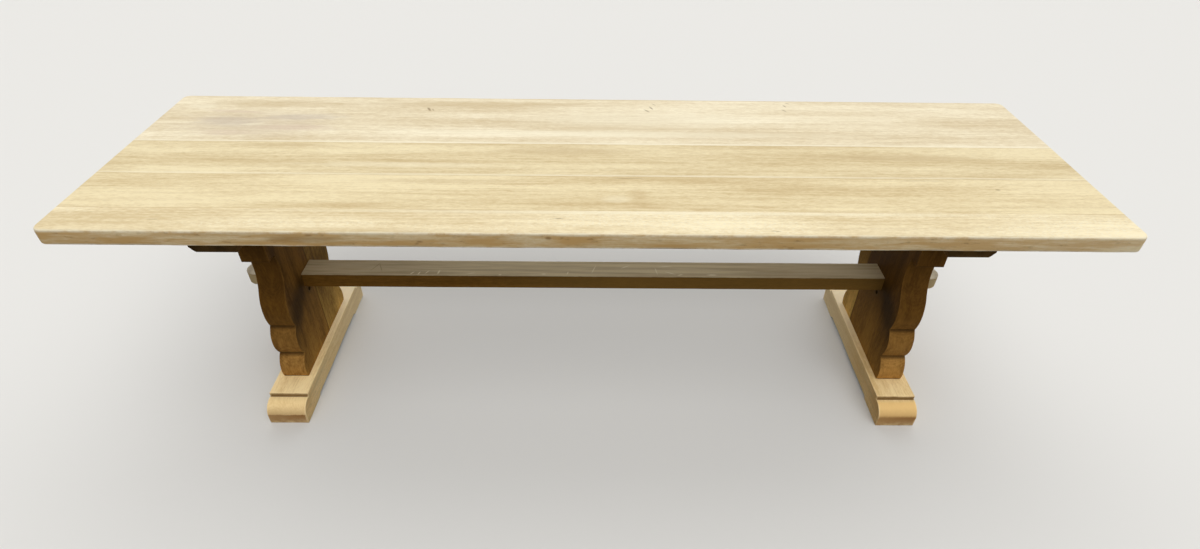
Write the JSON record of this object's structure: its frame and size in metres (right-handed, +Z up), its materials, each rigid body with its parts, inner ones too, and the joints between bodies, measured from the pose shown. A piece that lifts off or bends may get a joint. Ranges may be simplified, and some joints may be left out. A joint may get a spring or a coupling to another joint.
{
  "type": "trestle dining table",
  "caption": "Long plank-topped dining table on two scroll-cut slab trestles with sledge feet, tied by a stretcher whose through tenons are locked by removable wedges.",
  "frame": {"origin": "on the floor, under the middle of the top", "axes": "+X along the table, +Y from the front to the back, +Z up"},
  "size_m": [2.645, 0.792, 0.76],
  "materials": {
    "top_oak": "sanded, bare and pale",
    "trestle_oak": "sanded, bare, darker than the top",
    "key_oak": "cut smooth, bare",
    "tongue_wood": "planed, hidden in the joints",
    "screw_steel": "plain, dulled"
  },
  "bodies": {
    "table": {"top_board_back": "top_oak", "top_board_second": "top_oak", "top_board_third": "top_oak", "top_board_front": "top_oak", "top_tongue_back": "tongue_wood", "top_tongue_middle": "tongue_wood", "top_tongue_front": "tongue_wood", "bearer_left": "trestle_oak", "bearer_right": "trestle_oak", "bearer_screws_left": "screw_steel", "bearer_screws_right": "screw_steel", "upright_left_front": "trestle_oak", "upright_left_rear": "trestle_oak", "upright_right_front": "trestle_oak", "upright_right_rear": "trestle_oak", "upright_left_tongues": "tongue_wood", "upright_right_tongues": "tongue_wood", "foot_left": "trestle_oak", "foot_right": "trestle_oak", "stretcher": "trestle_oak"},
    "key_left": {"key_left": "key_oak"},
    "key_right": {"key_right": "key_oak"}
  },
  "joints": [
    {"name": "key_left_lift", "type": "slide", "parent": "table", "child": "key_left", "axis": [0, 0, 1], "range_m": [0, 0.08]},
    {"name": "key_right_lift", "type": "slide", "parent": "table", "child": "key_right", "axis": [0, 0, 1], "range_m": [0, 0.08]}
  ]
}
